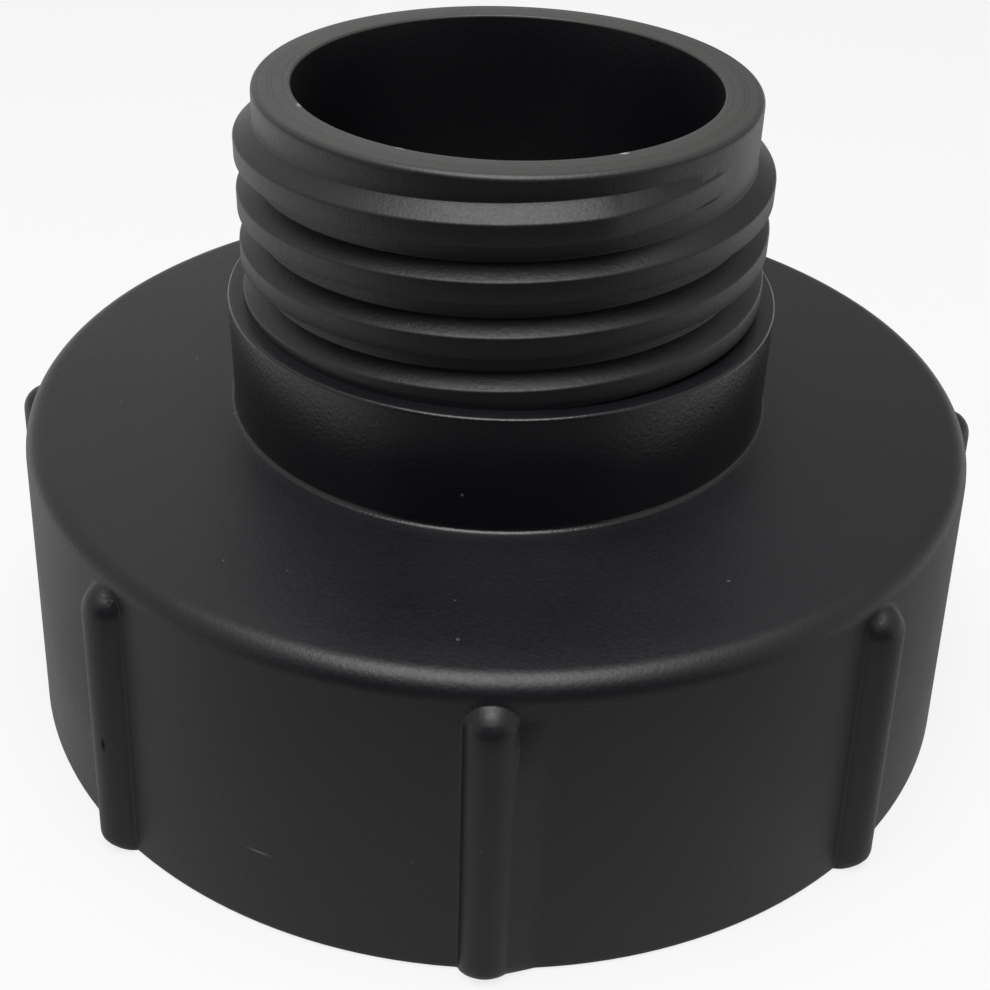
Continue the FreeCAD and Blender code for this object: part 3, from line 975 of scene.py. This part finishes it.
@dataclass
class SealingGasket:
    """The flat rubber ring at the end of the socket."""

    finish: GasketRubber = field(default_factory=GasketRubber)
    hole_radius: float = 39.0
    outer_radius: float = 50.2
    low: float = 29.2
    high: float = 32.2
    edge_round: float = 0.35
    round_steps: int = 4
    segments: int = 180

    def build(self) -> bpy.types.Object:
        """Makes the ring.

        Returns:
            The finished object.
        """
        inner, outer, middle = self.hole_radius, self.outer_radius, (self.low + self.high) / 2
        corners = [(inner, middle), (inner, self.high), (outer, self.high), (outer, self.low),
                   (inner, self.low), (inner, middle)]
        section = rounded(corners, [self.edge_round] * 4, self.round_steps)[:-1]
        points, faces = [], []
        for segment in range(self.segments):
            angle = math.tau * segment / self.segments
            across, up = math.cos(angle), math.sin(angle)
            points += [(r * across * MM, r * up * MM, z * MM) for r, z in section]
        size = len(section)
        for segment in range(self.segments):
            here, there = segment * size, (segment + 1) % self.segments * size
            for step in range(size):
                after = (step + 1) % size
                faces.append((here + step, here + after, there + after, there + step))
        mesh = bpy.data.meshes.new("gasket_ring")
        mesh.from_pydata(points, [], faces)
        mesh.polygons.foreach_set("use_smooth", [True] * len(faces))
        mesh.materials.append(self.finish.build())
        piece = bpy.data.objects.new("gasket_ring", mesh)
        bpy.context.scene.collection.objects.link(piece)
        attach(piece, "root")
        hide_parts("sealing_gasket")
        return piece


@dataclass(frozen=True)
class GlossCard:
    """A flat upright card that only the gloss of the pieces shows, in metres."""

    name: str
    start: Corner
    end: Corner
    heights: Corner
    level: float

    def build(self) -> None:
        """Stands the card."""
        low, high = self.heights
        corners = [(*self.start, low), (*self.end, low), (*self.end, high), (*self.start, high)]
        mesh = bpy.data.meshes.new(self.name)
        mesh.from_pydata(corners, [], [(0, 1, 2, 3)])
        material = bpy.data.materials.new(self.name)
        material.use_nodes = True
        shader = material.node_tree.nodes["Principled BSDF"]
        shader.inputs["Base Color"].default_value = (0.0, 0.0, 0.0, 1.0)
        shader.inputs["Specular IOR Level"].default_value = 0.0
        shader.inputs["Emission Color"].default_value = (1.0, 1.0, 1.0, 1.0)
        shader.inputs["Emission Strength"].default_value = self.level
        mesh.materials.append(material)
        piece = bpy.data.objects.new(self.name, mesh)
        piece.visible_camera = False
        piece.visible_diffuse = False
        piece.visible_shadow = False
        bpy.context.scene.collection.objects.link(piece)


@dataclass(frozen=True)
class SoftBox:
    """A soft box that hangs over the fitting, in metres, with white at level 1."""

    name: str = "overhead_box"
    place: Spot = (-0.03, -0.19, 0.68)
    size: Corner = (0.44, 0.58)
    level: float = 5.5

    def build(self) -> None:
        """Hangs the soft box."""
        light = bpy.data.lights.new(self.name, "AREA")
        light.shape = "RECTANGLE"
        light.size, light.size_y = self.size
        light.energy = self.level * math.pi * self.size[0] * self.size[1]
        lamp = bpy.data.objects.new(self.name, light)
        lamp.location = self.place
        bpy.context.scene.collection.objects.link(lamp)


@dataclass
class Studio:
    """A pale floor, a soft box overhead, two cards for the gloss and a pale surround."""

    floor_size: float = 12.0
    floor_drop: float = 0.1
    floor_tone: float = 0.8
    floor_glow: float = 0.8
    gloss_far: float = 0.16
    gloss_fall: Corner = (-0.170, -0.095)
    gloss_width: float = 0.4
    gloss_across: tuple[Corner, ...] = ((0.0, 1.0), (0.12, 1.0), (0.28, 0.5), (0.60, 0.5),
                                        (0.72, 0.38), (0.80, 0.42), (0.90, 1.0), (1.0, 1.0))
    surround: float = 0.30
    gloss_sky: float = 0.62
    box: SoftBox = field(default_factory=SoftBox)
    cards: tuple[GlossCard, ...] = (
        GlossCard("front_card", (-0.9, -0.9), (0.9, -0.9), (0.0, 0.78), 0.05),
        GlossCard("right_card", (0.1, 0.9), (1.6, 0.7), (0.1, 1.3), 0.36),
    )

    def floor_gloss(self, sheet: NodeSheet) -> Socket:
        """Adds how bright the floor is in gloss: dimmer well in front of the fitting.

        Args:
            sheet: The tree that is being written.

        Returns:
            The socket that holds the brightness.
        """
        place = sheet.split(sheet.add("ShaderNodeTexCoord").outputs["Object"])
        back = sheet.spread(place["Y"], self.gloss_fall, (self.gloss_far, 1.0),
                            interpolation_type="SMOOTHSTEP")
        along = sheet.math("DIVIDE", place["X"], self.gloss_width)
        along = sheet.math("ADD", along, 0.5, clamp=True)
        return sheet.math("MULTIPLY", sheet.curve(along, list(self.gloss_across)), back)

    def floor(self) -> None:
        """Lays the floor, which is nearly white to the eye and shows a faint shadow."""
        half = self.floor_size / 2
        mesh = bpy.data.meshes.new("studio_floor")
        mesh.from_pydata([(-half, -half, 0), (half, -half, 0), (half, half, 0), (-half, half, 0)],
                         [], [(0, 1, 2, 3)])
        material = bpy.data.materials.new("pale_floor")
        material.use_nodes = True
        sheet = NodeSheet(material.node_tree)
        nodes = material.node_tree.nodes
        nodes.remove(nodes["Principled BSDF"])
        paint = sheet.add("ShaderNodeBsdfDiffuse")
        sheet.feed(paint.inputs["Color"], (*[self.floor_tone] * 3, 1.0))
        glow = sheet.add("ShaderNodeEmission")
        path = sheet.add("ShaderNodeLightPath").outputs
        gloss = path["Is Glossy Ray"]
        dimmed = sheet.math("SUBTRACT", 1.0, self.floor_gloss(sheet))
        dimmed = sheet.math("MULTIPLY", gloss, dimmed)
        sheet.feed(glow.inputs["Strength"], sheet.math("SUBTRACT", 1.0, dimmed))
        seen = sheet.math("MAXIMUM", path["Is Camera Ray"], path["Is Transmission Ray"])
        seen = sheet.math("MULTIPLY", seen, self.floor_glow)
        mix = sheet.add("ShaderNodeMixShader")
        sheet.feed(mix.inputs[0], sheet.math("MAXIMUM", seen, gloss))
        sheet.feed(mix.inputs[1], paint.outputs[0])
        sheet.feed(mix.inputs[2], glow.outputs[0])
        sheet.feed(nodes["Material Output"].inputs["Surface"], mix.outputs[0])
        mesh.materials.append(material)
        piece = bpy.data.objects.new("studio_floor", mesh)
        piece.location.z = -self.floor_drop * MM
        bpy.context.scene.collection.objects.link(piece)

    def world(self) -> None:
        """Sets the surround: white to the eye, dimmer in gloss and dimmest as light."""
        world = bpy.data.worlds.new("pale_surround")
        bpy.context.scene.world = world
        world.use_nodes = True
        sheet = NodeSheet(world.node_tree)
        background = world.node_tree.nodes["Background"]
        path = sheet.add("ShaderNodeLightPath").outputs
        seen = sheet.math("MAXIMUM", path["Is Camera Ray"], path["Is Transmission Ray"])
        lift = sheet.math("MULTIPLY", seen, 1.0 - self.surround)
        shine = sheet.math("MULTIPLY", path["Is Glossy Ray"], self.gloss_sky - self.surround)
        level = sheet.math("ADD", sheet.math("ADD", lift, shine), self.surround)
        sheet.feed(background.inputs["Strength"], level)
        sheet.feed(background.inputs["Color"], (1.0, 1.0, 1.0, 1.0))

    def build(self) -> None:
        """Sets up floor, cards, lamp and surround."""
        self.floor()
        for card in self.cards:
            card.build()
        self.box.build()
        self.world()
        bpy.context.scene.view_settings.view_transform = "Standard"


@dataclass
class PhotoCamera:
    """The camera at the photograph's place, angle and lens."""

    azimuth: float = -90.4
    pitch: float = 33.82
    roll: float = 1.82
    distance: float = 195.1
    aim_height: float = 20.6
    focal_pixels: float = 1519.0
    sensor_width: float = 36.0
    clip: Corner = (0.01, 50.0)

    def build(self) -> bpy.types.Object:
        """Sets up the camera.

        Returns:
            The camera.
        """
        around, down, roll = map(math.radians, (self.azimuth, self.pitch, self.roll))
        back = Vector((math.cos(down) * math.cos(around), math.cos(down) * math.sin(around),
                       math.sin(down)))
        right = Vector((0, 0, 1)).cross(back).normalized()
        up = back.cross(right)
        tilted = right * math.cos(roll) + up * math.sin(roll)
        lens = bpy.data.cameras.new("photo_camera")
        lens.sensor_width = self.sensor_width
        lens.lens = self.sensor_width * self.focal_pixels / PHOTO_PIXELS
        lens.clip_start, lens.clip_end = self.clip
        camera = bpy.data.objects.new("photo_camera", lens)
        place = Matrix((tilted, back.cross(tilted), back)).transposed().to_4x4()
        place.translation = (back * self.distance + Vector((0, 0, self.aim_height))) * MM
        camera.matrix_world = place
        bpy.context.scene.collection.objects.link(camera)
        bpy.context.scene.camera = camera
        return camera


def main() -> None:
    """Builds the fitting, its gasket and the studio."""
    logging.basicConfig(level=logging.INFO, format="%(name)s: %(message)s")
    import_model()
    for piece in (AdapterBody().build(), SealingGasket().build()):
        log.info("%s has %d faces", piece.name, len(piece.data.polygons))
    Studio().build()
    PhotoCamera().build()


if __name__ == "__main__":
    main()
